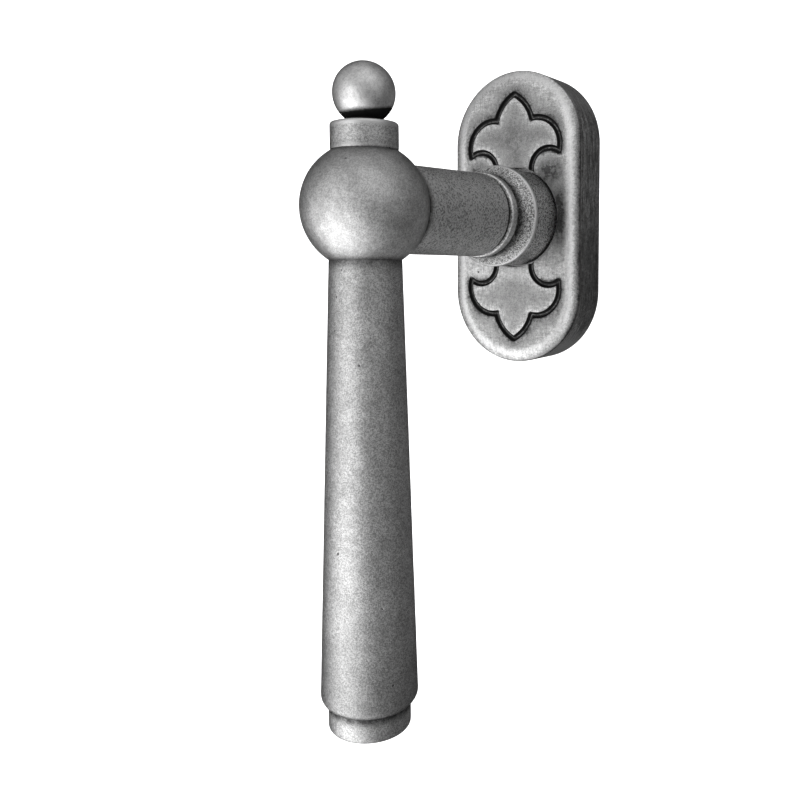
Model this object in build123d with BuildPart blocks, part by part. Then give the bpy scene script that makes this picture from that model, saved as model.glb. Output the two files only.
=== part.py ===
"""Tilt-and-turn window handle on an oval rose, closed, with the grip hanging down.

The origin is on the spindle axis, in the plane of the window sash. -Y points into the room,
+Y into the sash, +Z up and +X to the right as seen from the room. All lengths are millimetres.
"""

import os
from math import sqrt

from build123d import *

os.makedirs("parts", exist_ok=True)

# Rose, the oval plate that covers the fixings
rose_height = 72.0
rose_width = 35.4
rose_depth = 12.0
rose_wall = 1.8
rose_face = 2.0
rose_crown_width = 2.8
rose_crown_drop = 0.7
rose_edge_radius = 0.6
groove_width = 1.35
groove_depth = 0.7

# Lever: arm out from the rose, ball-shaped hub, hanging grip
lever_reach = 67.8
hub_radius = 12.5
arm_hub_radius = 9.1
arm_end_radius = 9.6
arm_start = 8.0
bead_radius = 9.9
bead_front = 28.8
bead_back = 26.3
bead_edge = 0.4
arm_fillet = 1.0
grip_top_radius = 7.1
grip_end_radius = 9.7
grip_end_z = -96.6
grip_bevel_height = 1.3
grip_bevel_width = 0.85
button_radius = 8.2
button_height = 5.0
button_chamfer = 0.6

# Finial on top of the hub: a short ring, dished to take a ball
finial_radius = 6.05
finial_z = 21.5
finial_collar_radius = 6.6
finial_collar_top = 15.9
finial_collar_edge = 0.6
dish_depth = 0.6
dish_radius = 4.7
ball_neck_radius = 3.4
ball_neck_length = 2.4

# Neck collar and bearing
collar_rim_radius = 12.05
collar_base_radius = 11.7
collar_front = 21.6
collar_rim_edge = 0.3
collar_cove_radius = 10.35
collar_cove_depth = 23.3
collar_nose = 25.8
collar_nose_radius = 9.35
collar_spigot_radius = 10.5
journal_radius = 7.0
running_clearance = 0.05
bush_wall = 1.45
neck_washer_play = 0.1

# Fixing: tilt-and-turn standard, two M5 screws at 43 mm centres and a 7 mm square spindle
lug_spacing = 43.0
lug_radius = 5.0
lug_length = 8.0
screw_radius = 2.5
screw_hole_radius = 2.65
screw_length = 30.0
screw_head_radius = 4.6
screw_sink = 0.15
screw_point = 0.8
cross_width = 1.1
cross_length = 5.0
cross_depth = 1.8
spindle_size = 7.0
spindle_projection = 28.0
spindle_depth = 24.0
spindle_edge = 0.5
spindle_lead = 0.6
pin_radius = 1.5
pin_depth = 15.0
pin_end_gap = 0.3

# Detent: a square rotor between two leaf springs, which clicks every quarter turn
rotor_size = 14.4
rotor_corner_radius = 8.9
rotor_thickness = 3.2
spring_thickness = 0.6
spring_length = 24.0
spring_width = 2.8
spring_play = 0.05
spring_slot_play = 0.2

# Base plate, its housing, the lid behind it and the screws that hold the lid
plate_end_depth = 4.0
housing_radius = 15.0
housing_chamfer = 0.5
pocket_depth = 7.5
pocket_radius = 10.3
lid_height = 32.2
lid_width = 26.0
lid_thickness = 1.5
lid_play = 0.1
lid_screw_z = 13.2
lid_screw_radius = 1.25
lid_screw_head_radius = 2.25
lid_screw_length = 6.0
lid_screw_hole_depth = 6.5
slot_width = 0.7
slot_length = 5.0
slot_depth = 0.6

# Nylon pads in the base plate's long sides, which grip the cover
pad_spacing = 32.0
pad_length = 5.0
pad_height = 2.4
pad_back_depth = 1.0
pad_recess = 1.2
pad_clearance = 0.05

# Parts on the back end of the journal
spigot_radius = 5.8
clip_groove_radius = 5.1
clip_radius = 7.6
clip_thickness = 0.8
clip_gap = 3.0
thrust_washer_radius = 9.5
thrust_washer_thickness = 0.5
lid_hole_radius = 6.4

# Tie rod, which holds ball, ring, hub, grip and button together
rod_radius = 2.5
rod_hole_radius = 2.65
rod_in_button = 2.7
rod_in_ball = 6.7

gap = 0.3

# Depths in front of the sash that follow from the sizes above, measured towards the room
housing_depth = rose_depth - rose_face - gap
bush_flange_depth = pocket_depth - 0.7
shoulder_depth = bush_flange_depth - 0.1
washer_depth = shoulder_depth - thrust_washer_thickness
rotor_back_depth = washer_depth - rotor_thickness
clip_back_depth = rotor_back_depth - clip_thickness
spigot_end_depth = lid_thickness + gap

# Radii, sizes and heights that follow from the sizes above
bush_radius = journal_radius + running_clearance + bush_wall
base_height = rose_height - 2 * (rose_wall + gap)
base_width = rose_width - 2 * (rose_wall + gap)
pad_thickness = pad_recess + gap - pad_clearance
spring_x = rotor_size / 2 + spring_play + spring_thickness / 2
hub_top_flat = sqrt(hub_radius**2 - finial_collar_radius**2)
grip_top_z = -sqrt(hub_radius**2 - grip_top_radius**2)
button_top_z = grip_end_z - grip_bevel_height
button_end_z = button_top_z - button_height
dish_z = finial_collar_top - dish_depth
rod_top_z = dish_z + rod_in_ball
rod_end_z = button_top_z - rod_in_button

# Planes and axes: depth planes face the room, the grip plane holds the grip's axis
grip_plane = Plane((0, -lever_reach, 0), x_dir=(1, 0, 0), z_dir=(0, -1, 0))
grip_axis = Axis((0, -lever_reach, 0), (0, 0, 1))


def depth_plane(depth):
    """The plane at this depth in front of the sash, facing the room."""
    return Plane.XZ.offset(depth)


def write(piece, name):
    """Labels the finished piece and writes it as its own STEP file."""
    piece.part.label = name
    export_step(piece.part, f"parts/{name}.step")


# Rose cover: a shell whose front slopes away near its edge, with a hole for the collar and two incised lilies
with BuildPart() as rose_cover:
    with BuildSketch(depth_plane(0)):
        SlotOverall(rose_height, rose_width, rotation=90)
    extrude(amount=rose_depth)
    front = rose_cover.faces().sort_by(Axis.Y)[0]
    chamfer(front.edges(), length=rose_crown_width, length2=rose_crown_drop, reference=front)
    outer_edges = rose_cover.edges().filter_by_position(
        Axis.Y, -rose_depth + rose_crown_drop - 0.01, -rose_depth + rose_crown_drop + 0.01
    )
    fillet(outer_edges, radius=rose_edge_radius)
    with BuildSketch(depth_plane(0)):
        SlotOverall(rose_height - 2 * rose_wall, rose_width - 2 * rose_wall, rotation=90)
    extrude(amount=rose_depth - rose_face, mode=Mode.SUBTRACT)
    with BuildSketch(depth_plane(rose_depth)):
        Circle(collar_rim_radius + gap)
    extrude(amount=-rose_face, mode=Mode.SUBTRACT)
    with BuildSketch(depth_plane(rose_depth)):
        with BuildLine():
            Line((5.0, 10.0), (5.0, 12.0))
            ThreePointArc((5.0, 12.0), (7.6, 16.05), (12.5, 15.6))
            ThreePointArc((12.5, 15.6), (11.35, 21.6), (5.0, 24.0))
            ThreePointArc((5.0, 24.0), (3.25, 27.55), (0.0, 30.2))
        trace(line_width=groove_width)
        mirror(about=Plane.YZ)
        mirror(about=Plane.XZ)
    extrude(amount=-groove_depth, mode=Mode.SUBTRACT)
write(rose_cover, "rose_cover")

# Base plate: thin ends for the fixing screws, a round housing in the middle, lugs that enter the sash
with BuildPart() as base_plate:
    with BuildSketch(depth_plane(0)):
        SlotOverall(base_height, base_width, rotation=90)
    extrude(amount=plate_end_depth)
    with BuildSketch(depth_plane(plate_end_depth)):
        Circle(housing_radius)
    extrude(amount=housing_depth - plate_end_depth)
    chamfer(base_plate.faces().sort_by(Axis.Y)[0].edges(), length=housing_chamfer)
    with BuildSketch(depth_plane(0)):
        with GridLocations(0, lug_spacing, 1, 2):
            Circle(lug_radius)
    extrude(amount=-lug_length)
    with Locations(depth_plane(plate_end_depth)):
        with GridLocations(0, lug_spacing, 1, 2):
            CounterSinkHole(screw_hole_radius, screw_head_radius + screw_sink, counter_sink_angle=90)
    with BuildSketch(depth_plane(0)):
        Circle(pocket_radius)
    extrude(amount=pocket_depth, mode=Mode.SUBTRACT)
    with BuildSketch(depth_plane(0)):
        Circle(collar_spigot_radius)
    extrude(amount=housing_depth, mode=Mode.SUBTRACT)
    with BuildSketch(depth_plane(0)):
        SlotOverall(lid_height, lid_width, rotation=90)
    extrude(amount=lid_thickness, mode=Mode.SUBTRACT)
    with BuildSketch(depth_plane(0)):
        with GridLocations(2 * spring_x, 0, 2, 1):
            Rectangle(spring_thickness + spring_slot_play, spring_length + 2 * spring_slot_play)
    extrude(amount=rotor_back_depth + spring_width + 2 * spring_slot_play, mode=Mode.SUBTRACT)
    with BuildSketch(depth_plane(lid_thickness)):
        with GridLocations(0, 2 * lid_screw_z, 1, 2):
            Circle(lid_screw_radius)
    extrude(amount=lid_screw_hole_depth - lid_thickness, mode=Mode.SUBTRACT)
    with BuildSketch(depth_plane(pad_back_depth)):
        with GridLocations(base_width, pad_spacing, 2, 2):
            Rectangle(2 * pad_recess, pad_length)
    extrude(amount=pad_height, mode=Mode.SUBTRACT)
write(base_plate, "base_plate")

# Cover pads: four nylon blocks in the base plate's long sides that grip the cover by friction
with BuildPart() as cover_pads:
    with BuildSketch(depth_plane(pad_back_depth)):
        with GridLocations(base_width - 2 * pad_recess + pad_thickness, pad_spacing, 2, 2):
            Rectangle(pad_thickness, pad_length)
    extrude(amount=pad_height)
write(cover_pads, "cover_pads")

# Neck collar: the round socket that stands out of the rose, slightly conical, with a coved front
with BuildPart() as neck_collar:
    with BuildSketch(Plane.XY):
        with BuildLine():
            Polyline(
                (bush_radius, -collar_nose),
                (bush_radius, -pocket_depth),
                (collar_spigot_radius, -pocket_depth),
                (collar_spigot_radius, -housing_depth),
                (collar_base_radius, -housing_depth),
                (collar_rim_radius, -collar_front),
            )
            ThreePointArc(
                (collar_rim_radius, -collar_front),
                (collar_cove_radius, -collar_cove_depth),
                (collar_nose_radius, -collar_nose),
            )
            Line((collar_nose_radius, -collar_nose), (bush_radius, -collar_nose))
        make_face()
    revolve(axis=Axis.Y)
    rim = neck_collar.edges().filter_by(GeomType.CIRCLE).sort_by(SortBy.RADIUS)[-1]
    fillet(rim, radius=collar_rim_edge)
write(neck_collar, "neck_collar")

# Bearing bush: flanged nylon sleeve in which the lever's journal turns
with BuildPart() as bearing_bush:
    with BuildSketch(Plane.XY):
        with BuildLine():
            Polyline(
                (journal_radius + running_clearance, -collar_nose),
                (bush_radius, -collar_nose),
                (bush_radius, -pocket_depth),
                (pocket_radius - gap, -pocket_depth),
                (pocket_radius - gap, -bush_flange_depth),
                (journal_radius + running_clearance, -bush_flange_depth),
                close=True,
            )
        make_face()
    revolve(axis=Axis.Y)
write(bearing_bush, "bearing_bush")

# Neck washer: thin nylon ring between the collar's nose and the lever's bead
with BuildPart() as neck_washer:
    with BuildSketch(depth_plane(collar_nose)):
        Circle(collar_nose_radius - neck_washer_play)
        Circle(journal_radius + neck_washer_play, mode=Mode.SUBTRACT)
    extrude(amount=bead_back - collar_nose - neck_washer_play)
write(neck_washer, "neck_washer")

# Leaf springs of the detent, one each side of the rotor
for side, name in ((-1, "leaf_spring_left"), (1, "leaf_spring_right")):
    with BuildPart() as leaf_spring:
        with BuildSketch(depth_plane(rotor_back_depth + spring_slot_play)):
            with Locations((side * spring_x, 0)):
                Rectangle(spring_thickness, spring_length)
        extrude(amount=spring_width)
    write(leaf_spring, name)

# Detent lid: steel plate that closes the spring pocket, flush with the back of the base plate
with BuildPart() as detent_lid:
    with BuildSketch(depth_plane(0)):
        SlotOverall(lid_height - 2 * lid_play, lid_width - 2 * lid_play, rotation=90)
        Circle(lid_hole_radius, mode=Mode.SUBTRACT)
    extrude(amount=lid_thickness)
    with Locations(Plane.XZ.reverse()):
        with GridLocations(0, 2 * lid_screw_z, 1, 2):
            CounterSinkHole(
                lid_screw_radius + lid_play, lid_screw_head_radius + lid_play, counter_sink_angle=90
            )
write(detent_lid, "detent_lid")


def countersunk_screw(head_radius, shank_radius, length):
    """Profile of a countersunk screw: x is the radius, y the distance below the head's face."""
    cone = head_radius - shank_radius
    with BuildLine() as outline:
        Polyline(
            (0, 0),
            (head_radius, 0),
            (shank_radius, -cone),
            (shank_radius, -length + screw_point),
            (shank_radius - screw_point, -length),
            (0, -length),
            close=True,
        )
    return outline.line


# Lid screws: two small countersunk screws from behind
with BuildPart() as lid_screws:
    for z in (-lid_screw_z, lid_screw_z):
        with BuildSketch(Plane.XY.offset(z)):
            make_face(
                countersunk_screw(lid_screw_head_radius, lid_screw_radius, lid_screw_length).edges()
            )
        revolve(axis=Axis((0, 0, z), (0, 1, 0)))
    with BuildSketch(depth_plane(0)):
        with GridLocations(0, 2 * lid_screw_z, 1, 2):
            Rectangle(slot_width, slot_length)
    extrude(amount=slot_depth, mode=Mode.SUBTRACT)
write(lid_screws, "lid_screws")

# Fixing screws: two M5 countersunk screws through the lugs, with a cross recess
screw_face_depth = plate_end_depth - screw_sink
with BuildPart() as fixing_screws:
    for z in (-lug_spacing / 2, lug_spacing / 2):
        with BuildSketch(
            Plane((0, -screw_face_depth, z), x_dir=(1, 0, 0), z_dir=(0, 0, -1))
        ):
            make_face(countersunk_screw(screw_head_radius, screw_radius, screw_length).edges())
        revolve(axis=Axis((0, 0, z), (0, 1, 0)))
    with BuildSketch(depth_plane(screw_face_depth)):
        with GridLocations(0, lug_spacing, 1, 2):
            Rectangle(cross_width, cross_length)
            Rectangle(cross_length, cross_width)
    extrude(amount=-cross_depth, mode=Mode.SUBTRACT)
write(fixing_screws, "fixing_screws")

# Lever head: ball-shaped hub, arm with a bead, and the journal that turns in the bush
with BuildPart() as lever_head:
    with Locations((0, -lever_reach, 0)):
        Sphere(hub_radius)
    split(bisect_by=Plane.XY.offset(hub_top_flat), keep=Keep.BOTTOM)
    split(bisect_by=Plane.XY.offset(grip_top_z), keep=Keep.TOP)
    with BuildSketch(Plane.XY):
        with BuildLine():
            Polyline(
                (0, -lever_reach),
                (arm_hub_radius, -lever_reach),
                (arm_hub_radius, -lever_reach + arm_start),
                (arm_end_radius, -bead_front - arm_fillet),
            )
            ThreePointArc(
                (arm_end_radius, -bead_front - arm_fillet),
                (arm_end_radius - 0.3 * arm_fillet, -bead_front - 0.25 * arm_fillet),
                (bead_radius - bead_edge, -bead_front),
            )
            ThreePointArc(
                (bead_radius - bead_edge, -bead_front),
                (bead_radius - 0.3 * bead_edge, -bead_front + 0.3 * bead_edge),
                (bead_radius, -bead_front + bead_edge),
            )
            Polyline(
                (bead_radius, -bead_front + bead_edge),
                (bead_radius, -bead_back - bead_edge),
                (bead_radius - bead_edge, -bead_back),
                (journal_radius, -bead_back),
                (journal_radius, -shoulder_depth),
                (spigot_radius, -shoulder_depth),
                (spigot_radius, -rotor_back_depth),
                (clip_groove_radius, -rotor_back_depth),
                (clip_groove_radius, -clip_back_depth),
                (spigot_radius, -clip_back_depth),
                (spigot_radius, -spigot_end_depth),
                (0, -spigot_end_depth),
                (0, -lever_reach),
            )
        make_face()
    revolve(axis=Axis.Y)
    with BuildSketch(depth_plane(0)):
        Rectangle(spindle_size, spindle_size)
    extrude(amount=spindle_depth, mode=Mode.SUBTRACT)
    with BuildSketch(Plane.YZ.offset(-journal_radius)):
        with Locations((-pin_depth, 0)):
            Circle(pin_radius)
    extrude(amount=2 * journal_radius, mode=Mode.SUBTRACT)
    with BuildSketch(Plane.XY.offset(-hub_radius)):
        with Locations((0, -lever_reach)):
            Circle(rod_hole_radius)
    extrude(amount=2 * hub_radius, mode=Mode.SUBTRACT)
write(lever_head, "lever_head")

# Finial collar: short ring on top of the hub, dished to take the ball
with BuildPart() as finial_collar:
    with BuildSketch(grip_plane):
        with BuildLine():
            Polyline(
                (rod_hole_radius, hub_top_flat),
                (finial_collar_radius, hub_top_flat),
                (finial_collar_radius, finial_collar_top - finial_collar_edge),
            )
            ThreePointArc(
                (finial_collar_radius, finial_collar_top - finial_collar_edge),
                (
                    finial_collar_radius - 0.3 * finial_collar_edge,
                    finial_collar_top - 0.3 * finial_collar_edge,
                ),
                (finial_collar_radius - finial_collar_edge, finial_collar_top),
            )
            Polyline(
                (finial_collar_radius - finial_collar_edge, finial_collar_top),
                (dish_radius, finial_collar_top),
                (dish_radius - dish_depth, dish_z),
                (rod_hole_radius, dish_z),
                (rod_hole_radius, hub_top_flat),
            )
        make_face()
    revolve(axis=grip_axis)
write(finial_collar, "finial_collar")

# Finial ball: screws onto the tie rod and clamps hub and collar
with BuildPart() as finial_ball:
    with Locations((0, -lever_reach, finial_z)):
        Sphere(finial_radius)
    with BuildSketch(Plane.XY.offset(dish_z)):
        with Locations((0, -lever_reach)):
            Circle(ball_neck_radius)
    extrude(amount=ball_neck_length)
    with BuildSketch(Plane.XY.offset(dish_z)):
        with Locations((0, -lever_reach)):
            Circle(rod_radius)
    extrude(amount=rod_in_ball, mode=Mode.SUBTRACT)
write(finial_ball, "finial_ball")

# Grip: tapered handle that widens downwards, bevelled at its lower end
with BuildPart() as grip:
    with BuildSketch(grip_plane):
        with BuildLine():
            Polyline(
                (rod_hole_radius, grip_top_z),
                (grip_top_radius, grip_top_z),
                (grip_end_radius, grip_end_z),
                (grip_end_radius - grip_bevel_width, button_top_z),
                (rod_hole_radius, button_top_z),
                close=True,
            )
        make_face()
    revolve(axis=grip_axis)
write(grip, "grip")

# End button: cap nut that closes the grip and takes the lower end of the tie rod
with BuildPart() as end_button:
    with BuildSketch(grip_plane):
        with BuildLine():
            Polyline(
                (rod_radius, button_top_z),
                (button_radius, button_top_z),
                (button_radius, button_end_z + button_chamfer),
                (button_radius - button_chamfer, button_end_z),
                (0, button_end_z),
                (0, rod_end_z),
                (rod_radius, rod_end_z),
                close=True,
            )
        make_face()
    revolve(axis=grip_axis)
write(end_button, "end_button")

# Tie rod: runs from the end button through grip, hub and collar into the ball
with BuildPart() as tie_rod:
    with BuildSketch(Plane.XY.offset(rod_end_z)):
        with Locations((0, -lever_reach)):
            Circle(rod_radius)
    extrude(amount=rod_top_z - rod_end_z)
write(tie_rod, "tie_rod")

# Spindle: square bar with broken edges, pinned in the journal, that drives the window's gear
with BuildPart() as spindle:
    with BuildSketch(depth_plane(spindle_depth)):
        Rectangle(spindle_size, spindle_size)
    extrude(amount=-spindle_depth - spindle_projection)
    chamfer(spindle.edges().filter_by(Axis.Y), length=spindle_edge)
    chamfer(spindle.faces().sort_by(Axis.Y)[-1].edges(), length=spindle_lead)
    with BuildSketch(Plane.YZ.offset(-spindle_size)):
        with Locations((-pin_depth, 0)):
            Circle(pin_radius)
    extrude(amount=2 * spindle_size, mode=Mode.SUBTRACT)
write(spindle, "spindle")

# Spindle pin: steel pin across the journal and the spindle
with BuildPart() as spindle_pin:
    with BuildSketch(Plane.YZ.offset(-journal_radius + pin_end_gap)):
        with Locations((-pin_depth, 0)):
            Circle(pin_radius)
    extrude(amount=2 * (journal_radius - pin_end_gap))
write(spindle_pin, "spindle_pin")

# Thrust washer: steel ring that runs against the bush's flange
with BuildPart() as thrust_washer:
    with BuildSketch(depth_plane(washer_depth)):
        Circle(thrust_washer_radius)
        Circle(spigot_radius, mode=Mode.SUBTRACT)
    extrude(amount=thrust_washer_thickness)
write(thrust_washer, "thrust_washer")

# Detent rotor: square cam with rounded corners, pressed on the journal's spigot
corner_fillet = (rotor_size / sqrt(2) - rotor_corner_radius) / (sqrt(2) - 1)
with BuildPart() as detent_rotor:
    with BuildSketch(depth_plane(rotor_back_depth)):
        RectangleRounded(rotor_size, rotor_size, corner_fillet)
        Circle(spigot_radius, mode=Mode.SUBTRACT)
    extrude(amount=rotor_thickness)
write(detent_rotor, "detent_rotor")

# Retaining ring: open spring ring in the spigot's groove, which holds the lever in the base plate
with BuildPart() as retaining_ring:
    with BuildSketch(depth_plane(clip_back_depth)):
        Circle(clip_radius)
        Circle(clip_groove_radius, mode=Mode.SUBTRACT)
        with Locations((0, -clip_radius)):
            Rectangle(clip_gap, clip_radius, mode=Mode.SUBTRACT)
    extrude(amount=clip_thickness)
write(retaining_ring, "retaining_ring")
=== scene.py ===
"""Looks of a tilt-and-turn window handle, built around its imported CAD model.

Everything is in metres in the CAD frame: the origin is on the spindle axis in the plane of the
sash, -Y points into the room and +Z up. Sizes are written in millimetres and scaled by MM.
"""

import math

import bpy
import numpy as np
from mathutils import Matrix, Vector, noise
from mathutils.geometry import delaunay_2d_cdt


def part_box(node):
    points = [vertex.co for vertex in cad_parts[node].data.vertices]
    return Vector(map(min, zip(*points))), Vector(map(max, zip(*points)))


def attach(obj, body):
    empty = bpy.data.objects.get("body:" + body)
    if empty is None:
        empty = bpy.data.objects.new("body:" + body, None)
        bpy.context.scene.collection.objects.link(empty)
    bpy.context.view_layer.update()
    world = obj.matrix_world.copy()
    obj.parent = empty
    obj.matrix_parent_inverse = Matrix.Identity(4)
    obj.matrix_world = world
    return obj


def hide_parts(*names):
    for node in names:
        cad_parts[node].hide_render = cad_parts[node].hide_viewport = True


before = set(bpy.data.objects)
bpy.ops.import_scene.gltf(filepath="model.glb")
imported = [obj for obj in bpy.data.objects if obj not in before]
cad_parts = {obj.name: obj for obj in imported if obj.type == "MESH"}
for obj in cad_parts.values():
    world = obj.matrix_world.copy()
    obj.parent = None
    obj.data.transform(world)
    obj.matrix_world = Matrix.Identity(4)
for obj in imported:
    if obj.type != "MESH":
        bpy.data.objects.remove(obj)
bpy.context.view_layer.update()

MM = 0.001


def reach(node):
    """A node's lowest and highest corners in millimetres."""
    low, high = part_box(node)
    return low / MM, high / MM


# ---------------------------------------------------------------- sizes, in millimetres

# Rose cover: an oval shell with a pillowed rim (the crown) and a hole for the neck collar
rose_low, rose_high = reach("rose_cover")
rose_radius = rose_high.x
rose_straight = rose_high.z - rose_radius
rose_depth = -rose_low.y
rose_wall = 1.8
rose_face = 2.0
rose_hole = 12.15
rose_hole_lip = 0.15
crown_width = 3.2
crown_drop = 1.0

# Incised lilies: the groove's section as shares of its half width, and its depth
groove_half_width = 0.68
groove_floor, groove_lip = 0.42, 1.12
groove_depth = 0.7

# Finial: a ball in the dished top of a short ring
rod_hole_radius = 2.65
ball_low, ball_high = reach("finial_ball")
ball_radius = ball_high.x
ball_z = ball_high.z - ball_radius
ball_neck_radius = 3.4
ball_neck_top = ball_z - 5.0
ring_low, ring_high = reach("finial_collar")
ring_top = ring_high.z
ring_radius = ring_high.x
ring_edge = 0.3
dish_depth = 0.6
dish_radius, dish_floor_radius = 4.7, 4.1

# Lever head: hub, arm, bead, and the journal in the rose with its stepped back end
lever_y = ball_low.y + ball_radius
hub_radius = reach("lever_head")[1].x
arm_hub_radius = 9.1
arm_start_y = lever_y + math.sqrt(hub_radius**2 - arm_hub_radius**2)
arm_end_radius = 9.6
bead_radius = 9.9
bead_front, bead_back = -28.8, -26.3
bead_front_width, bead_front_height = 0.4, 0.45
bead_back_edge = 0.3
bead_groove_start, bead_groove_end = -1.3, -0.2
bead_groove_depth = 0.6
journal_radius = 7.0
journal_back = -6.7
spigot_radius = 5.8
spigot_back = -1.8
clip_groove_radius = 5.1
clip_groove_front, clip_groove_back = -3.0, -2.2
spindle_bore_radius = 3.55
spindle_bore_front = -23.5

# Grip and button
grip_low, grip_high = reach("grip")
grip_top_radius = 7.1
grip_bevel_height = 1.3
grip_bevel_width = 0.85
grip_seat_height = 1.0
grip_seat_taper = 0.3
button_low, button_high = reach("end_button")
button_edge = 0.3

# Neck collar: a coved nose in front, a conical side and a spigot in the base plate
collar_low, collar_high = reach("neck_collar")
collar_front = -21.6
collar_cove = (10.35, -23.3)
collar_nose_radius = 9.35
collar_base_radius = 11.7
collar_shoulder = -9.7
collar_spigot_radius = 10.5
collar_bore = 8.5


# ---------------------------------------------------------------- shaping numbers

def rise(value, start, end):
    """0 up to the start, then evenly up to 1 at the end."""
    return np.clip((value - start) / (end - start), 0, 1)


def bell(value, centre, width):
    """1 at the centre, falling to about a third at this width from it."""
    return np.exp(-((value - centre) / width) ** 2)


def decay(distance, width):
    """1 at no distance or less, then falling to about a third with every width."""
    return np.exp(-np.maximum(distance, 0) / width)


def fade(distance, width):
    """1 at no distance, falling softly to 0 at this width."""
    t = np.clip(1 - np.abs(distance) / width, 0, 1)
    return t * t * (3 - 2 * t)


# ---------------------------------------------------------------- lines

def arc(centre, radius, start, end, count):
    """Points of a circular arc, from one angle to the other, in degrees."""
    angles = np.radians(np.linspace(start, end, count))
    return [(centre[0] + radius * math.cos(a), centre[1] + radius * math.sin(a)) for a in angles]


def through(a, b, c, count):
    """Points of the circular arc from a through b to c."""
    ax, ay = a
    bx, by = b
    cx, cy = c
    d = 2 * (ax * (by - cy) + bx * (cy - ay) + cx * (ay - by))
    a2, b2, c2 = ax * ax + ay * ay, bx * bx + by * by, cx * cx + cy * cy
    ux = (a2 * (by - cy) + b2 * (cy - ay) + c2 * (ay - by)) / d
    uy = (a2 * (cx - bx) + b2 * (ax - cx) + c2 * (bx - ax)) / d
    start, middle, end = (math.degrees(math.atan2(y - uy, x - ux)) for x, y in (a, b, c))
    while middle < start:
        middle += 360
    while end < start:
        end += 360
    if middle > end:
        end -= 360
    return arc((ux, uy), math.hypot(ax - ux, ay - uy), start, end, count)


def resampled(points, step):
    """The same line with points about a step apart."""
    p = np.array(points, float)
    keep = np.r_[True, np.linalg.norm(np.diff(p, axis=0), axis=1) > 1e-6]
    p = p[keep]
    run = np.r_[0, np.cumsum(np.linalg.norm(np.diff(p, axis=0), axis=1))]
    at = np.linspace(0, run[-1], max(2, round(run[-1] / step)) + 1)
    return np.stack([np.interp(at, run, p[:, i]) for i in (0, 1)], 1)


def blurred(values, times):
    """Values averaged with their neighbours, over and over; the ends stay."""
    v = np.array(values, float)
    for _ in range(times):
        v[1:-1] = (v[:-2] + 2 * v[1:-1] + v[2:]) / 4
    return v


def rounding(step, size):
    """How often a line with this step is averaged to round its corners to about this size."""
    return max(1, round(2 * (size / step) ** 2))


def line_sides(line):
    """Unit vectors across a line, to the right of its direction."""
    tangent = np.gradient(line, axis=0)
    tangent /= np.linalg.norm(tangent, axis=1)[:, None]
    return np.stack([tangent[:, 1], -tangent[:, 0]], 1)


def circle(radius, count):
    """Points of a circle round the origin, anticlockwise from the right."""
    a = np.arange(count) * 2 * math.pi / count
    return np.stack([radius * np.cos(a), radius * np.sin(a)], 1)


# ---------------------------------------------------------------- meshes

def link_mesh(name, points, faces, material):
    """A smooth mesh object in the scene. Its points are in metres."""
    mesh = bpy.data.meshes.new(name)
    mesh.from_pydata([tuple(p) for p in points], [], faces)
    mesh.validate()
    mesh.polygons.foreach_set("use_smooth", [True] * len(mesh.polygons))
    mesh.materials.append(material)
    made = bpy.data.objects.new(name, mesh)
    bpy.context.scene.collection.objects.link(made)
    return made


def make_piece(node, points, faces, body, material, marks):
    """A mesh piece that replaces a node and rides on a body; marks are values at its points."""
    piece = link_mesh(node, np.asarray(points) * MM, faces, material)
    for mark, values in marks.items():
        attribute = piece.data.attributes.new(mark, "FLOAT", "POINT")
        attribute.data.foreach_set("value", np.asarray(values, np.float32))
    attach(piece, body)
    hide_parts(node)


def ripple(points, size, depth, seed):
    """Height of a gentle unevenness at each point, from -depth to depth."""
    shift = Vector((seed * 13.7, seed * 7.3, seed * 3.1))
    return np.array([noise.noise(Vector(p) / size + shift) for p in points]) * depth


def revolved(line, turns):
    """Points and faces of a line of (radius, height) turned round, and each point's row in it."""
    angles = np.arange(turns) * 2 * math.pi / turns
    rings, points = [], []
    for radius, height in line:
        if radius < 1e-4:
            rings.append([len(points)] * turns)
            points.append((0.0, 0.0, height))
        else:
            rings.append(list(range(len(points), len(points) + turns)))
            points += [(radius * math.cos(a), radius * math.sin(a), height) for a in angles]
    row = np.empty(len(points), int)
    for i, ring in enumerate(rings):
        row[ring] = i
    faces = []
    for below, above in zip(rings, rings[1:]):
        for i in range(turns):
            j = (i + 1) % turns
            corners = [below[i], below[j], above[j], above[i]]
            corners = [c for k, c in enumerate(corners) if c != corners[k - 1]]
            if len(corners) > 2:
                faces.append(corners)
    if rings[0][0] != rings[0][1] and rings[-1][0] != rings[-1][1]:
        for i in range(turns):
            j = (i + 1) % turns
            faces.append([rings[-1][i], rings[-1][j], rings[0][j], rings[0][i]])
    return np.array(points), faces, row


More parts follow.
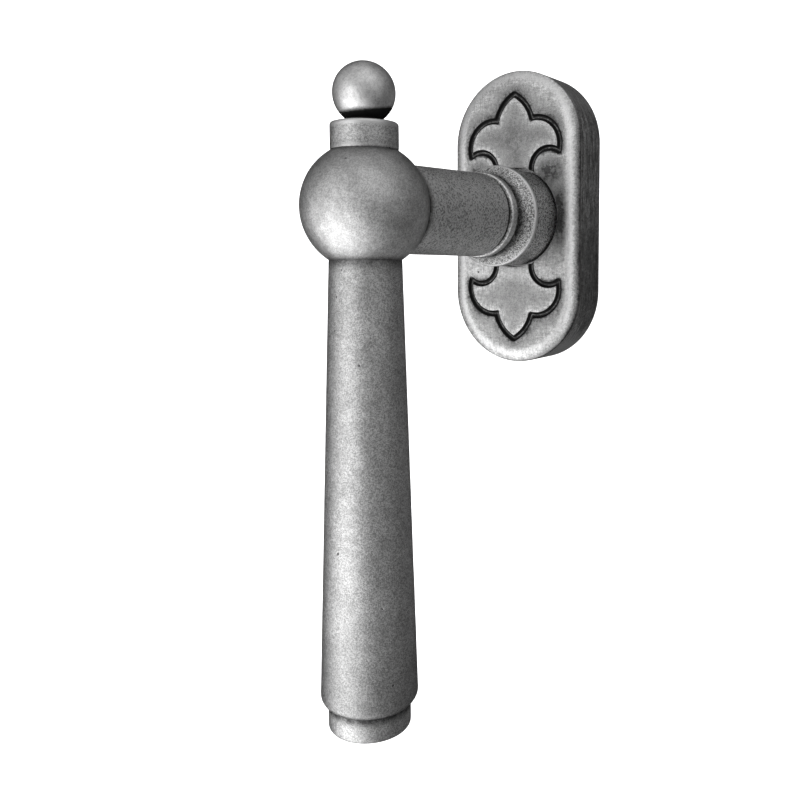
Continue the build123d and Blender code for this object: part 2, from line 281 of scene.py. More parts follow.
def lathe(node, profile, axis, material, step=0.3, round_to=0.25, turns=160, uneven=0.02, seed=1,
          body="lever", worn=1.0, shaded=None, painted_dark=None, painted_light_grit=None):
    """Revolves a closed profile of (radius, height) round the spindle's or the grip's axis.

    Its convex edges are marked as rubbed, this much worn, and its concave ones as dark patina.
    shaded(points) gives painted shade, which also takes the rubbing away, dirty(points) adds
    painted shade to the patina mark and gritty(points) coarser grain with a painted lighter tone.
    """
    crease_size = 0.9
    worn_height, grimy_depth = 0.16, 0.3
    uneven_size = 4.0

    line = resampled(profile, step)
    line = blurred(line, rounding(step, round_to))
    line[:, 0] = np.maximum(line[:, 0], 0)
    normal = line_sides(line)
    stand = ((line - blurred(line, rounding(step, crease_size))) * normal).sum(1)
    points, faces, row = revolved(line, turns)
    wear = (worn * np.clip(stand / worn_height, 0, 1))[row]
    grime = np.clip(-stand / grimy_depth, 0, 1)[row]

    outward = np.zeros_like(points)
    around = np.hypot(points[:, 0], points[:, 1])
    spin = points[:, :2] / np.maximum(around, 1e-9)[:, None]
    outward[:, :2] = spin * normal[row, :1]
    outward[:, 2] = normal[row, 1]
    points -= outward * (uneven + ripple(points, uneven_size, uneven, seed))[:, None]
    if axis == "spindle":
        points = np.stack([points[:, 0], points[:, 2], -points[:, 1]], 1)
    else:
        points = points + np.array([0, lever_y, 0])

    # Painted shade, a painted dark band and a painted lighter tone come from the three functions
    # given.
    shade = np.clip(shaded(points), 0, 1) if shaded else np.zeros(len(points))
    if painted_dark:
        grime = np.clip(grime + painted_dark(points), 0, 1)
    grit_and_painted_light = painted_light_grit(points) if painted_light_grit else np.zeros(len(points))
    make_piece(node, points, faces, body, material,
               {"wear": wear * (1 - shade), "grime": grime, "shade": shade, "grit_and_painted_light": grit_and_painted_light})


# ---------------------------------------------------------------- materials

class Surface:
    """Builds a material's nodes with short calls."""

    def __init__(self, name, metallic=1.0):
        self.material = bpy.data.materials.new(name)
        self.material.use_nodes = True
        self.tree = self.material.node_tree
        self.shader = self.tree.nodes["Principled BSDF"]
        self.shader.inputs["Metallic"].default_value = metallic
        self.place = self.node("ShaderNodeTexCoord").outputs["Object"]

    def node(self, kind, **settings):
        made = self.tree.nodes.new(kind)
        for key, value in settings.items():
            setattr(made, key, value)
        return made

    def put(self, socket, value):
        if isinstance(value, bpy.types.NodeSocket):
            self.tree.links.new(value, socket)
        else:
            socket.default_value = value

    def math(self, operation, a, b=0.0, clamp=False):
        made = self.node("ShaderNodeMath", operation=operation, use_clamp=clamp)
        self.put(made.inputs[0], a)
        self.put(made.inputs[1], b)
        return made.outputs[0]

    def times(self, a, b):
        return self.math("MULTIPLY", a, b)

    def without(self, part):
        """What is left of 1 without this part."""
        return self.math("SUBTRACT", 1.0, part)

    def blend(self, factor, a, b):
        made = self.node("ShaderNodeMix", data_type="FLOAT")
        self.put(made.inputs[0], factor)
        self.put(made.inputs[2], a)
        self.put(made.inputs[3], b)
        return made.outputs[0]

    def step(self, value, low, high, to_low=0.0, to_high=1.0):
        made = self.node("ShaderNodeMapRange", interpolation_type="SMOOTHSTEP")
        for socket, number in zip(made.inputs[:5], (value, low, high, to_low, to_high)):
            self.put(socket, number)
        return made.outputs[0]

    def broken(self, mark, pattern, amount=0.5):
        """A mark's value, made uneven by a pattern round 0.5."""
        return self.math("ADD", mark, self.times(self.math("SUBTRACT", pattern, 0.5), amount))

    def height(self):
        """Height above the wall: the place's Y, in metres."""
        apart = self.node("ShaderNodeSeparateXYZ")
        self.put(apart.inputs[0], self.place)
        return apart.outputs["Y"]

    def combined(self, *values):
        made = self.node("ShaderNodeCombineXYZ")
        for socket, value in zip(made.inputs, values):
            self.put(socket, value)
        return made.outputs[0]

    def stretched(self, x, y, z):
        made = self.node("ShaderNodeVectorMath", operation="MULTIPLY")
        self.put(made.inputs[0], self.place)
        made.inputs[1].default_value = (x, y, z)
        return made.outputs[0]

    def noise(self, size, detail=4.0, rough=0.6, place=None, warp=0.0):
        """Cloudy noise whose blotches are about this many millimetres across."""
        made = self.node("ShaderNodeTexNoise")
        self.put(made.inputs["Vector"], place or self.place)
        self.put(made.inputs["Scale"], 1 / (size * MM))
        self.put(made.inputs["Detail"], detail)
        self.put(made.inputs["Roughness"], rough)
        self.put(made.inputs["Distortion"], warp)
        return made.outputs["Fac"]

    def pits(self, spacing, low, high):
        """Scattered round pits, about this many millimetres apart: 1 in a pit, 0 outside."""
        made = self.node("ShaderNodeTexVoronoi")
        self.put(made.inputs["Vector"], self.place)
        self.put(made.inputs["Scale"], 1 / (spacing * MM))
        return self.step(made.outputs["Distance"], low, high, 1.0, 0.0)

    def mark(self, name):
        return self.node("ShaderNodeAttribute", attribute_name=name).outputs["Fac"]

    def bump(self, height, depth, under=None):
        """A bump this many millimetres high, on top of the one under it."""
        made = self.node("ShaderNodeBump")
        self.put(made.inputs["Height"], height)
        made.inputs["Distance"].default_value = depth * MM
        made.inputs["Strength"].default_value = 1.0
        if under:
            self.put(made.inputs["Normal"], under)
        return made.outputs["Normal"]

    def finish(self, color, roughness, normal):
        self.put(self.shader.inputs["Base Color"], color)
        self.put(self.shader.inputs["Roughness"], roughness)
        self.put(self.shader.inputs["Normal"], normal)
        return self.material


edge_gloss = (0.15, 0.15, 0.15, 1)
# Near-black tone of patina in hollows and of painted shade; strength of painted shade with patina.
grime_tone = 0.035
painted_shade_and_patina_strength = 0.85
rough_grime = 0.65


def pewter(name, light=0.76, dark=0.36, cloudy=0.08, grain=0.42, grain_depth=0.04, roughness=0.36,
           polished_and_painted_highlight_tone=0.8, streaks=False):
    """Antique pewter on a blasted casting: dark in the hollows, rubbed bright on the edges.

    light and dark are the tones of its grain, this many millimetres coarse, cloudy is how much the
    tone drifts over the piece, and polished is the tone of its rubbed edges and painted highlights.
    With streaks it is brushed, and the mark "along" runs lengthways in the streaks of a wall. The
    shade mark darkens it with painted shade and some patina; a third mark also paints it lighter.
    """
    s = Surface(name)
    cloud = s.noise(5.0, 5, 0.62, warp=0.6)
    spots = s.noise(1.2, 4, 0.65)
    blotches = s.blend(0.5, cloud, spots)
    sand = s.noise(grain, 3, 0.7)
    dust = s.noise(grain * 0.5, 2, 0.6)
    pits = s.times(s.pits(3.1, 0.05, 0.1), s.step(s.noise(7, 2), 0.56, 0.62))

    color = s.step(s.blend(0.45, sand, dust), 0.39, 0.61, dark, light)
    coarser_and_painted_lighter = s.step(s.noise(0.45, 3, 0.7), 0.4, 0.6, 0.72, 1.85)
    # Painted light: besides coarser grain, this mark makes the tone lighter on average.
    color = s.times(color, s.blend(s.mark("grit_and_painted_light"), 1.0, coarser_and_painted_lighter))
    color = s.times(color, s.step(blotches, 0.36, 0.64, 1 - cloudy, 1 + cloudy))
    patches = s.step(spots, 0.35, 0.65, 0.75, 1.25)
    if streaks:
        lengthways = s.times(s.mark("along"), 0.14 * MM)
        wall = s.noise(1.0, 4, 0.75, place=s.combined(lengthways, s.height(), 0.0))
        upright = s.noise(0.6, 4, 0.6, place=s.stretched(1.0, 1.0, 0.25))
        across = s.noise(0.6, 4, 0.6, place=s.stretched(0.25, 1.0, 1.0))
        crossed = s.blend(0.5, upright, across)
        color = s.times(color, s.step(crossed, 0.38, 0.62, 0.68, 1.32))
        color = s.times(color, s.blend(s.mark("wall"), 1.0, s.step(wall, 0.36, 0.64, 0.5, 1.5)))
        brushed = s.blend(s.mark("wall"), crossed, wall)
        patches = s.step(s.blend(0.45, brushed, blotches), 0.4, 0.58, 0.3, 1.5)
    # Painted shade, with some patina: darker in creases, in shadows and on the side away from the
    # light.
    shade = s.math("MULTIPLY", s.mark("shade"), patches, clamp=True)
    color = s.times(color, s.without(s.times(shade, painted_shade_and_patina_strength)))
    grime = s.step(s.broken(s.mark("grime"), spots), 0.2, 0.9)
    grime = s.math("MAXIMUM", grime, s.times(pits, 0.8))
    wear = s.step(s.broken(s.mark("wear"), sand), 0.15, 0.95)
    # Rubbed edges, and on the rose painted highlights, in the bright rubbed tone.
    color = s.blend(wear, color, polished_and_painted_highlight_tone)
    # Patina in hollows, and painted shade under the ball, in the near-black tone.
    color = s.blend(grime, color, grime_tone)

    rough = s.step(sand, 0.3, 0.7, roughness - 0.05, roughness + 0.07)
    rough = s.blend(wear, rough, roughness - 0.04)
    rough = s.blend(grime, rough, rough_grime)
    normal = s.bump(cloud, 0.05)
    normal = s.bump(sand, grain_depth, normal)
    normal = s.bump(dust, grain_depth * 0.5, normal)
    normal = s.bump(s.without(pits), 0.1, normal)
    s.shader.inputs["Specular Tint"].default_value = edge_gloss
    return s.finish(color, rough, normal)


def plain_metal(name, light, dark, roughness, grain_depth=0.012):
    """Unplated or zinc-plated metal of the hidden parts."""
    s = Surface(name)
    cloud = s.noise(4.0, 5, 0.6, warp=0.5)
    sand = s.noise(0.3, 3, 0.65)
    mixed = s.math("ADD", s.times(cloud, 0.6), s.times(sand, 0.4))
    color = s.step(mixed, 0.35, 0.65, dark, light)
    rough = s.step(cloud, 0.3, 0.7, roughness - 0.06, roughness + 0.1)
    return s.finish(color, rough, s.bump(sand, grain_depth, s.bump(cloud, 0.05)))


def natural_nylon(name):
    """Pale, slightly cloudy nylon."""
    s = Surface(name, metallic=0.0)
    cloud = s.noise(3.0, 4, 0.6)
    color = s.step(cloud, 0.3, 0.7, 0.66, 0.8)
    rough = s.step(cloud, 0.3, 0.7, 0.4, 0.55)
    return s.finish(color, rough, s.bump(s.noise(0.3, 3), 0.01))


smooth_pewter = pewter("pewter_smooth", light=0.84, dark=0.6, cloudy=0.25, grain=0.35,
                       grain_depth=0.01)
hub_pewter = pewter("pewter_hub", light=0.8, dark=0.52, cloudy=0.18)
cast_pewter = pewter("pewter_cast", light=0.75, dark=0.38, cloudy=0.15)
# The rose's bright rubbed tone also serves its painted highlights.
rose_pewter = pewter("pewter_rose", light=0.68, dark=0.4, cloudy=0.16, grain_depth=0.03,
                     polished_and_painted_highlight_tone=0.95, streaks=True)
coarse_pewter = pewter("pewter_coarse", light=1.0, dark=0.16, grain=0.48, grain_depth=0.11)
zinc = plain_metal("zinc_casting", light=0.9, dark=0.62, roughness=0.42)
steel = plain_metal("plated_steel", light=0.95, dark=0.78, roughness=0.3, grain_depth=0.006)
spring = plain_metal("spring_steel", light=0.35, dark=0.2, roughness=0.3, grain_depth=0.006)
nylon = natural_nylon("nylon")


# ---------------------------------------------------------------- painted shade and light: lever, collar

def from_grip_axis(points):
    """Distance of each point from the grip's axis."""
    return np.hypot(points[:, 0], points[:, 1] - lever_y)


def ball_painted_shade(points):
    """Painted shade: a black band low on the ball, in the patina mark, its top edge lower at the
    front.
    """
    x, y, z = (points - [0, lever_y, ball_z]).T / ball_radius
    level = 0.19 * y - 0.01 * x - 0.35
    return 1.6 * rise(level - z, 0, 0.3) ** 1.5


def ring_foot(points):
    """Painted shade in the crease where the finial ring stands on the hub."""
    return 0.5 * fade(points[:, 2] - ring_low.z, 2.0)


def head_creases(points):
    """Painted shade in the hub's creases: under the ring, over the grip, round the arm, at the
    bead.
    """
    y, z = points[:, 1], points[:, 2]
    on_hub = y < arm_start_y
    upper = 0.5 * fade(from_grip_axis(points) - ring_radius, 1.6) * (z > 0)
    # Painted shade: the hub darker towards its top, where the light from below reaches less.
    upper = np.maximum(upper, 0.28 * rise(z, 1, 8))
    lower = 0.5 * fade(from_grip_axis(points) - grip_top_radius, 1.3) * (z < 0)
    arm = 0.85 * fade(y - arm_start_y, 2.2) * (y > arm_start_y - 0.5)
    before_bead = 0.95 * fade(y - bead_front + 0.25, 1.7) * (y < bead_front + 0.1)
    behind_bead = fade(y - bead_back, 0.5)
    return np.maximum.reduce([upper * on_hub, lower * on_hub, arm, before_bead, behind_bead])


def arm_grit_and_painted_light(points):
    """The arm's grain is coarser than the hub's, and the same mark paints the arm lighter, as
    painted light.
    """
    return rise(points[:, 1], arm_start_y, arm_start_y + 3)


def grip_ends(points):
    """Painted shade under the hub and on the end face round the button, and a trace of it further
    up.
    """
    from_end = points[:, 2] - grip_low.z
    top = 0.7 * fade(np.maximum(grip_high.z - points[:, 2], 0), 2.4)
    return np.maximum.reduce([top, fade(from_end, 0.5), 0.28 * fade(from_end, 24)])


def button_ends(points):
    """Painted shadow at the top of the button, under the grip, and painted shade on its lower edge.
    """
    top = fade(np.maximum(button_high.z - points[:, 2], 0), 2.4)
    edge = fade(button_high.x - from_grip_axis(points), 0.8)
    return np.maximum(top, 0.6 * edge * fade(points[:, 2] - button_low.z, 0.8))


def collar_hollow(points):
    """Painted shadow of the bead, low in the collar's cove behind it, and more of it at the lower
    right.
    """
    x, y, z = points.T
    to_lower_right = np.clip((0.9 * x - 0.44 * z) / np.hypot(x, z), 0, 1)
    return fade(np.maximum(y - collar_low.y - 0.6, 0), 1.5 + 0.8 * to_lower_right ** 2)


def collar_grit_and_painted_light(points):
    """The collar's side is coarser than its cove, and the same mark paints it lighter, as painted
    light.
    """
    return rise(points[:, 1], collar_front, collar_front + 1)


# ---------------------------------------------------------------- lever

dish_z = ring_top - dish_depth
ball_neck_angle = math.degrees(math.acos(ball_neck_radius / ball_radius))
lathe("finial_ball",
      [(0, dish_z), (ball_neck_radius, dish_z), (ball_neck_radius, ball_neck_top)]
      + arc((0, ball_z), ball_radius, -ball_neck_angle, 90, 60),
      "grip", smooth_pewter, step=0.15, round_to=0.1, turns=128, uneven=0.01, seed=2,
      painted_dark=ball_painted_shade)
lathe("finial_collar",
      [(rod_hole_radius, ring_low.z), (ring_radius, ring_low.z),
       (ring_radius, ring_top - ring_edge), (ring_radius - ring_edge, ring_top),
       (dish_radius, ring_top), (dish_floor_radius, dish_z), (rod_hole_radius, dish_z)],
      "grip", cast_pewter, step=0.15, round_to=0.2, turns=128, seed=3, shaded=ring_foot)

arm_join = math.degrees(math.asin((arm_start_y - lever_y) / hub_radius))
lathe("lever_head",
      arc((0, lever_y), hub_radius, -90, arm_join, 80)
      + [(arm_end_radius, bead_front + bead_groove_start),
         (arm_end_radius - bead_groove_depth, bead_front + bead_groove_end),
         (bead_radius - bead_front_height, bead_front),
         (bead_radius, bead_front + bead_front_width), (bead_radius, bead_back - bead_back_edge),
         (bead_radius - bead_back_edge, bead_back),
         (journal_radius, bead_back), (journal_radius, journal_back),
         (spigot_radius, journal_back), (spigot_radius, clip_groove_front),
         (clip_groove_radius, clip_groove_front), (clip_groove_radius, clip_groove_back),
         (spigot_radius, clip_groove_back), (spigot_radius, spigot_back),
         (spindle_bore_radius, spigot_back), (spindle_bore_radius, spindle_bore_front),
         (0, spindle_bore_front)],
      "spindle", hub_pewter, step=0.25, round_to=0.2, turns=192, seed=4, worn=0.6,
      shaded=head_creases, painted_light_grit=arm_grit_and_painted_light)

grip_seat_z = grip_high.z + grip_seat_height
lathe("grip",
      [(rod_hole_radius, grip_low.z), (grip_high.x - grip_bevel_width, grip_low.z),
       (grip_high.x, grip_low.z + grip_bevel_height), (grip_top_radius, grip_high.z),
       (grip_top_radius - grip_seat_taper, grip_seat_z), (rod_hole_radius, grip_seat_z)],
      "grip", cast_pewter, step=0.4, round_to=0.35, turns=160, uneven=0.025, seed=5, worn=0.15,
      shaded=grip_ends)
lathe("end_button",
      [(0, button_low.z), (button_high.x - button_edge, button_low.z),
       (button_high.x, button_low.z + button_edge), (button_high.x, button_high.z),
       (0, button_high.z)],
      "grip", cast_pewter, step=0.15, round_to=0.15, turns=144, seed=6, worn=0.3,
      shaded=button_ends)

# ---------------------------------------------------------------- neck collar

cove = through((collar_high.x, collar_front), collar_cove, (collar_nose_radius, collar_low.y), 24)
lathe("neck_collar",
      [(collar_bore, collar_low.y), (collar_nose_radius, collar_low.y)] + cove[::-1]
      + [(collar_base_radius, collar_shoulder), (collar_spigot_radius, collar_shoulder),
         (collar_spigot_radius, collar_high.y), (collar_bore, collar_high.y),
         (collar_bore, collar_low.y)],
      "spindle", coarse_pewter, step=0.2, round_to=0.2, turns=192, seed=7, body="fixing",
      shaded=collar_hollow, painted_light_grit=collar_grit_and_painted_light)


# ---------------------------------------------------------------- the rose's outline and grooves

def oval(inset, count):
    """Points (x, z) of the rose's outline, this far inside it, anticlockwise from the right."""
    radius, straight = rose_radius - inset, rose_straight
    half_turn = math.pi * rose_radius
    legs = np.cumsum([straight, half_turn, 2 * straight, half_turn])
    points = []
    for s in np.arange(count) / count * (2 * half_turn + 4 * straight):
        if s < legs[0]:
            points.append((radius, s))
        elif s < legs[1]:
            a = (s - legs[0]) / rose_radius
            points.append((radius * math.cos(a), straight + radius * math.sin(a)))
        elif s < legs[2]:
            points.append((-radius, straight - (s - legs[1])))
        elif s < legs[3]:
            a = (s - legs[2]) / rose_radius + math.pi
            points.append((radius * math.cos(a), -straight + radius * math.sin(a)))
        else:
            points.append((radius, -straight + (s - legs[3])))
    return np.array(points)


def inside_edge(flat):
    """How far each flat point (x, z) is inside the rose's outline."""
    end = np.maximum(np.abs(flat[:, 1]) - rose_straight, 0)
    return rose_radius - np.hypot(flat[:, 0], end)


def from_top(points):
    """Distance of each point from the rose's top, run along its edge."""
    x, z = np.abs(points[:, 0]), points[:, 2]
    end = np.maximum(np.abs(z) - rose_straight, 0)
    round_part = rose_radius * np.arctan2(x, np.maximum(end, 1e-6))
    upper = np.where(z > 0, round_part, math.pi * rose_radius - round_part)
    return upper + rose_straight - np.clip(z, -rose_straight, rose_straight)


# Centre lines of the upper lily's right half: its stem, two arcs of its side leaf, and its tip
half_lily = [
    [(5.0, 10.0), (5.0, 12.0)],
    through((5.0, 12.0), (7.6, 16.05), (12.5, 15.6), 30),
    through((12.5, 15.6), (11.35, 21.6), (5.0, 24.0), 36),
    through((5.0, 24.0), (3.25, 27.55), (0.0, 30.2), 28),
]
grooves = [resampled([(x * sx, z * sz) for x, z in line], 0.3)
           for line in half_lily for sx in (-1, 1) for sz in (-1, 1)]


def groove_distance(flat):
    """Distance of each flat point (x, z) from the nearest groove's centre line."""
    best = np.full(len(flat), 1e9)
    for line in grooves:
        for a, b in zip(line, line[1:]):
            ab = b - a
            t = np.clip(((flat - a) @ ab) / (ab @ ab), 0, 1)
            best = np.minimum(best, np.linalg.norm(flat - a - t[:, None] * ab, axis=1))
    return best


def groove_cut(distance):
    """Depth of the groove this far from its centre line: flat floor, sloped walls, soft lips."""
    t = distance / groove_half_width
    wall = np.clip((groove_lip - t) / (groove_lip - groove_floor), 0, 1)
    return groove_depth * wall * wall * (3 - 2 * wall)


def inside_lily(flat):
    """True for the flat points within one of the two lilies."""
    x, z = np.abs(flat[:, 0]), np.abs(flat[:, 1])
    edge = np.concatenate([np.array(line) for line in half_lily])
    inside = np.zeros(len(flat), bool)
    for (ax, az), (bx, bz) in zip(edge, edge[1:]):
        crossed = (az > z) != (bz > z)
        if az != bz:
            inside ^= crossed & (x < ax + (z - az) * (bx - ax) / (bz - az))
    return inside


# ---------------------------------------------------------------- painted shade and light, patina of the rose

def top_end(z):
    """0 along the rose's sides, rising to 1 at its top."""
    return rise(z, 19, 29)


def crown_wear(inset, z):
    """Rubbing and painted highlight on the rounded rim of the rose's face, this far from its edge.
    """
    # Painted highlight: nearer the edge at the top, weaker at the bottom.
    less_below = 1 - 0.22 * rise(-z, 25, 33)
    return 0.68 * less_below * bell(inset, 2.3 - top_end(z), 1.5)


def crown_shade(inset, x, z):
    """Painted shade at the outer edge of the crown, mostly on the right, away from the light."""
    at_edge = max(0.0, 0.85 - 2.2 * inset / crown_width)
    return at_edge * np.maximum(rise(x, -8, 8), 0.1) * (1 - top_end(z))


def face_wear(flat, distance):
    """Rubbing and painted highlights of the face: the rim, a rubbed halo round the grooves and a
    painted highlight between the lower stems.
    """
    inset = inside_edge(flat)
    halo = 0.35 * bell(distance, 1.35, 0.45) * (inset > 3.0)
    # Painted highlight below the collar, where light from below falls.
    below = 0.4 * bell(flat[:, 1], -14, 3) * rise(distance, 0.9, 1.9) * (inset > 4.0)
    return np.maximum.reduce([halo, below, crown_wear(inset, flat[:, 1])])


def groove_grime(distance):
    """Grime in the grooves, a little less of it along their middle."""
    grime = np.clip((0.86 - distance) / 0.16, 0, 1)
    grime[distance < 0.22] *= 0.66
    return grime


def face_shade(flat, distance):
    """Painted shade of the face, with some patina: in and round the lilies, darker in the upper
    half, beside the collar and round its hole.
    """
    x, z = np.abs(flat[:, 0]), np.abs(flat[:, 1])
    upper = flat[:, 1] > 0
    inside = np.where(upper, 0.6, 0.45) * (1 - decay(distance - 1.0, 1.5))
    outside = np.where(z > 15.0, 0.95, 0.3) * decay(distance - 0.6, 2.0)
    pocket = bell(x, 10.2, 3.6) * bell(z, 11.0, 3.4) * rise(distance, 0.8, 1.8)
    # Painted shade: the lower pockets, lit from below, stay nearly light.
    pocket *= np.where(upper, 1.1, 0.15)
    # Painted shadow beside the collar.
    beside = 1.3 * bell(x, 12.6, 2.4) * bell(z, 0.0, 7.0)
    round_hole = 0.6 * decay(np.hypot(x, z) - rose_hole, 0.7)
    around = np.maximum.reduce([outside, pocket, beside])
    shade = np.maximum(np.where(inside_lily(flat), inside, around), round_hole)
    return np.minimum(shade, 1) * rise(inside_edge(flat), 2.2, 3.8)


def wall_wear(share, z):
    """Rubbed back edge and painted highlights of the rose's side, this share of the way to the
    sash:
    the ends painted bright.
    """
    # Painted highlights on the ends of the side, where light from below and above falls.
    ends = np.maximum(0.72 * rise(-z, 24, 32), 0.55 * rise(z, 21, 28))
    return np.maximum(0.7 - 5 * (1 - share), ends)


def wall_shade(share, z):
    """Darkening of the rose's side: a little everywhere, and painted shade towards the sash and in
    its lower half.
    """
    return 0.12 + 0.2 * share + 0.3 * rise(-z, -2, 10) * rise(z, -27, -20)


# ---------------------------------------------------------------- rose cover

class Shell:
    """A mesh that grows ring by ring, with the marks at its points."""

    def __init__(self):
        self.points, self.faces = [], []
        self.marks = {"wear": [], "grime": [], "shade": [], "wall": []}

    def add(self, points, **marks):
        """Adds points, with each mark a number or one value a point. Returns their places."""
        start = len(self.points)
        self.points.extend(points)
        for name, values in self.marks.items():
            values.extend(np.broadcast_to(marks.get(name, 0.0), len(points)))
        return list(range(start, len(self.points)))

    def ring(self, line, depth, **marks):
        """Adds a closed line of (x, z) at this distance from the sash."""
        return self.add([(x, -depth, z) for x, z in line], **marks)

    def join(self, a, b):
        """Faces between two rings."""
        for i in range(len(a)):
            j = (i + 1) % len(a)
            self.faces.append([a[i], b[i], b[j], a[j]])


def plate(outer, inner, loose):
    """Triangles between an outer closed line and an inner circle, through loose points."""
    flat = np.concatenate([outer, inner, loose])
    n, m = len(outer), len(inner)
    edges = [(i, (i + 1) % n) for i in range(n)] + [(n + i, n + (i + 1) % m) for i in range(m)]
    points, _, faces, *_ = delaunay_2d_cdt([Vector(p) for p in flat], edges, [], 0, 1e-6)
    points = np.array([tuple(p) for p in points])
    in_hole = np.hypot(*inner[0]) * 0.9999
    kept = []
    for face in faces:
        middle = points[list(face)].mean(0)
        if np.hypot(*middle) > in_hole and inside_edge(middle[None])[0] > 0:
            kept.append(list(face))
    return points, kept


def face_points():
    """Points (x, z) inside the rose's face: rows along the grooves and a staggered grid."""
    across_groove = (0, 0.14, 0.28, 0.4, 0.5, 0.6, 0.7, 0.8, 1.0)
    on_row = 0.02
    grid_x, grid_z = 0.7, 0.6
    clear_of_groove, clear_of_edge, clear_of_hole = 1.25, 0.3, 0.25
    closest = 0.09

    rows = []
    for line in grooves:
        side = line_sides(line)
        for offset in across_groove:
            for sign in ((1,) if offset == 0 else (-1, 1)):
                row = line + side * offset * sign
                rows.append(row[np.abs(groove_distance(row) - offset) < on_row])
    grid = np.array([(x + grid_x / 2 * (k % 2), z)
                     for k, z in enumerate(np.arange(-36, 36, grid_z))
                     for x in np.arange(-18, 18, grid_x)])
    rows.append(grid[groove_distance(grid) > clear_of_groove])
    loose = np.concatenate(rows)
    loose = loose[inside_edge(loose) > crown_width + clear_of_edge]
    from_hole = np.hypot(loose[:, 0], loose[:, 1]) - rose_hole - rose_hole_lip
    loose = loose[from_hole > clear_of_hole]
    seen, thinned = set(), []
    for p in loose:
        key = (round(p[0] / closest), round(p[1] / closest))
        if key not in seen:
            seen.add(key)
            thinned.append(p)
    return np.array(thinned)


def crown_section():
    """The crown's curve from the face to the side, as rows of (inset, drop)."""
    crown = [(crown_width * (1 - u), crown_drop * u * u) for u in np.linspace(0, 1, 40)]
    crown = blurred(resampled(crown + [(0, crown_drop + 1.0)], 0.2), 3)
    return [(inset, drop) for inset, drop in crown[1:] if drop < crown_drop + 0.4]


def rose():
    """The rose cover: face with its lilies, crown, side, hollow back and rounded hole."""
    count, wall_steps, hole_count, lip_steps = 520, 16, 260, 3
    uneven, uneven_size = 0.03, 9.0
    shell = Shell()

    outer = oval(crown_width, count)
    inner = circle(rose_hole + rose_hole_lip, hole_count)
    flat, faces = plate(outer, inner, face_points())
    distance = groove_distance(flat)
    depth = rose_depth - groove_cut(distance)
    shell.add([(x, -d, z) for (x, z), d in zip(flat, depth)], wear=face_wear(flat, distance),
              grime=groove_grime(distance), shade=face_shade(flat, distance))
    shell.faces += faces

    last = list(range(count))
    crown = crown_section()
    for inset, drop in crown:
        line = oval(inset, count)
        x, z = line.T
        now = shell.ring(line, rose_depth - drop, wear=crown_wear(inset, z),
                         shade=crown_shade(inset, x, z))
        shell.join(last, now)
        last = now
    front_edge = rose_depth - crown[-1][1]
    line = oval(0, count)
    for k in range(1, wall_steps + 1):
        share = k / wall_steps
        now = shell.ring(line, front_edge * (1 - share), wear=wall_wear(share, line[:, 1]),
                         shade=wall_shade(share, line[:, 1]), wall=1.0)
        shell.join(last, now)
        last = now
    for inner_depth in (0, rose_depth - rose_face):
        now = shell.ring(oval(rose_wall, count), inner_depth, grime=0.2)
        shell.join(last, now)
        last = now
    back_outer = last

    last = list(range(count, count + hole_count))
    for k in range(1, lip_steps + 1):
        turn = math.pi / 2 * k / lip_steps
        line = circle(rose_hole + rose_hole_lip * (1 - math.sin(turn)), hole_count)
        now = shell.ring(line, rose_depth - rose_hole_lip * (1 - math.cos(turn)), grime=0.35 * k)
        shell.join(now, last)
        last = now
    back_inner = shell.ring(circle(rose_hole, hole_count), rose_depth - rose_face, grime=0.8)
    shell.join(back_inner, last)

    back_flat, back_faces = plate(oval(rose_wall, count), circle(rose_hole, hole_count),
                                  np.empty((0, 2)))
    back = back_outer + back_inner
    assert len(back_flat) == len(back)
    shell.faces += [[back[i] for i in reversed(face)] for face in back_faces]

    points = np.array(shell.points)
    in_front = rise(-points[:, 1], rose_depth - 1.4, rose_depth - 0.2)
    unevenness = uneven + ripple(points * [1, 0, 1], uneven_size, uneven, seed=8)
    points[:, 1] += unevenness * in_front
    make_piece("rose_cover", points, shell.faces, "cover", rose_pewter,
               {**shell.marks, "along": from_top(points)})


rose()

# ---------------------------------------------------------------- hidden parts, in their CAD shapes

finishes = {
    zinc: ["base_plate", "detent_rotor"],
    steel: ["detent_lid", "lid_screws", "fixing_screws", "spindle", "spindle_pin", "tie_rod",
            "thrust_washer"],
    spring: ["leaf_spring_left", "leaf_spring_right", "retaining_ring"],
    nylon: ["bearing_bush", "neck_washer", "cover_pads"],
}
for material, names in finishes.items():
    for name in names:
        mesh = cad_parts[name].data
        mesh.materials.clear()
        mesh.materials.append(material)


# ---------------------------------------------------------------- studio, in metres

def studio():
    """A pale, evenly lit floor that curves up into a backdrop and doesn't show in the metal."""
    floor_z, front_y, back_y, top_z, bend, half_width = -0.30, -2.5, 1.1, 2.2, 0.5, 2.5
    side = [(front_y, floor_z), (back_y - bend, floor_z)]
    side += [(back_y - bend + y, floor_z + bend + z) for y, z in arc((0, 0), bend, -90, 0, 24)]
    side += [(back_y, top_z)]
    points = [(x, y, z) for y, z in side for x in (-half_width, half_width)]
    faces = [[2 * i, 2 * i + 1, 2 * i + 3, 2 * i + 2] for i in range(len(side) - 1)]
    paper = Surface("studio_paper", metallic=0.0)
    paper.shader.inputs["Emission Color"].default_value = (1, 1, 1, 1)
    paper.shader.inputs["Emission Strength"].default_value = 0.9
    tone = paper.step(paper.noise(60.0, 3), 0.3, 0.7, 0.9, 0.95)
    material = paper.finish(tone, 0.9, paper.bump(paper.noise(1.0, 2), 0.02))
    floor = link_mesh("studio_floor", points, faces, material)
    floor.visible_glossy = False


def direction(azimuth, elevation):
    """The way from the handle to this side of it; azimuth 0 is straight in front of it."""
    a, e = math.radians(azimuth), math.radians(elevation)
    return Vector((math.sin(a) * math.cos(e), -math.cos(a) * math.cos(e), math.sin(e)))


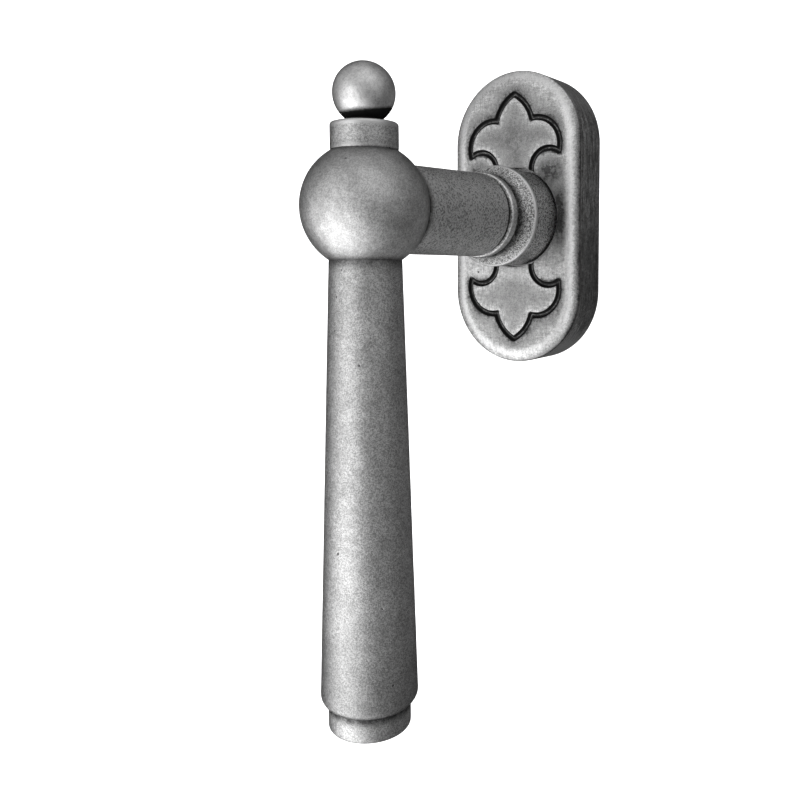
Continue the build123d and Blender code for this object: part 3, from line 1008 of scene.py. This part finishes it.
def surroundings(lights):
    """A room with soft round lights, which looks plain white to the camera itself."""
    world = bpy.data.worlds.new("surroundings")
    bpy.context.scene.world = world
    world.use_nodes = True
    tree = world.node_tree
    place = tree.nodes.new("ShaderNodeTexCoord").outputs["Generated"]

    def calculate(operation, a, b):
        made = tree.nodes.new("ShaderNodeMath")
        made.operation = operation
        for socket, value in zip(made.inputs, (a, b)):
            if isinstance(value, bpy.types.NodeSocket):
                tree.links.new(value, socket)
            else:
                socket.default_value = value
        return made.outputs[0]

    total = 0.0
    for azimuth, elevation, sharpness, strength in lights:
        facing = tree.nodes.new("ShaderNodeVectorMath")
        facing.operation = "DOT_PRODUCT"
        tree.links.new(place, facing.inputs[0])
        facing.inputs[1].default_value = direction(azimuth, elevation)
        away = calculate("MULTIPLY", calculate("SUBTRACT", facing.outputs["Value"], 1.0), sharpness)
        spot = calculate("MULTIPLY", calculate("POWER", math.e, away), strength)
        total = calculate("ADD", spot, total)
    seen = tree.nodes.new("ShaderNodeLightPath").outputs["Is Camera Ray"]
    choose = tree.nodes.new("ShaderNodeMix")
    tree.links.new(seen, choose.inputs[0])
    tree.links.new(total, choose.inputs[2])
    choose.inputs[3].default_value = 1.0
    tree.links.new(choose.outputs[0], tree.nodes["Background"].inputs["Color"])


studio()
surroundings([
    # azimuth, elevation, sharpness, strength
    (-24, -45, 4.5, 2.2),
    (-9, 8, 8, 0.65),
    (68, 46, 5, 0.58),
    (-90, 32, 1.1, 0.3),
    (-25, 71, 5, 0.2),
    (-8, 46, 8, 0.12),
    (80, 0, 6, 0.14),
    (145, 0, 2.5, 0.045),
    (125, -62, 3, 0.05),
    (-165, -20, 8, 0.18),
])

camera_place = (107.5, -192.3, -9.5)
camera_down, camera_turn = 4.02, 32.67
camera = bpy.data.cameras.new("camera")
camera.sensor_width = 36.0
camera.lens = 37.8
camera.shift_x, camera.shift_y = -0.1075, -0.10625
camera.clip_start = 0.01
viewer = bpy.data.objects.new("camera", camera)
viewer.location = Vector(camera_place) * MM
viewer.rotation_euler = (math.radians(90 - camera_down), 0, math.radians(camera_turn))
bpy.context.scene.collection.objects.link(viewer)
bpy.context.scene.camera = viewer
bpy.context.scene.view_settings.view_transform = "Standard"
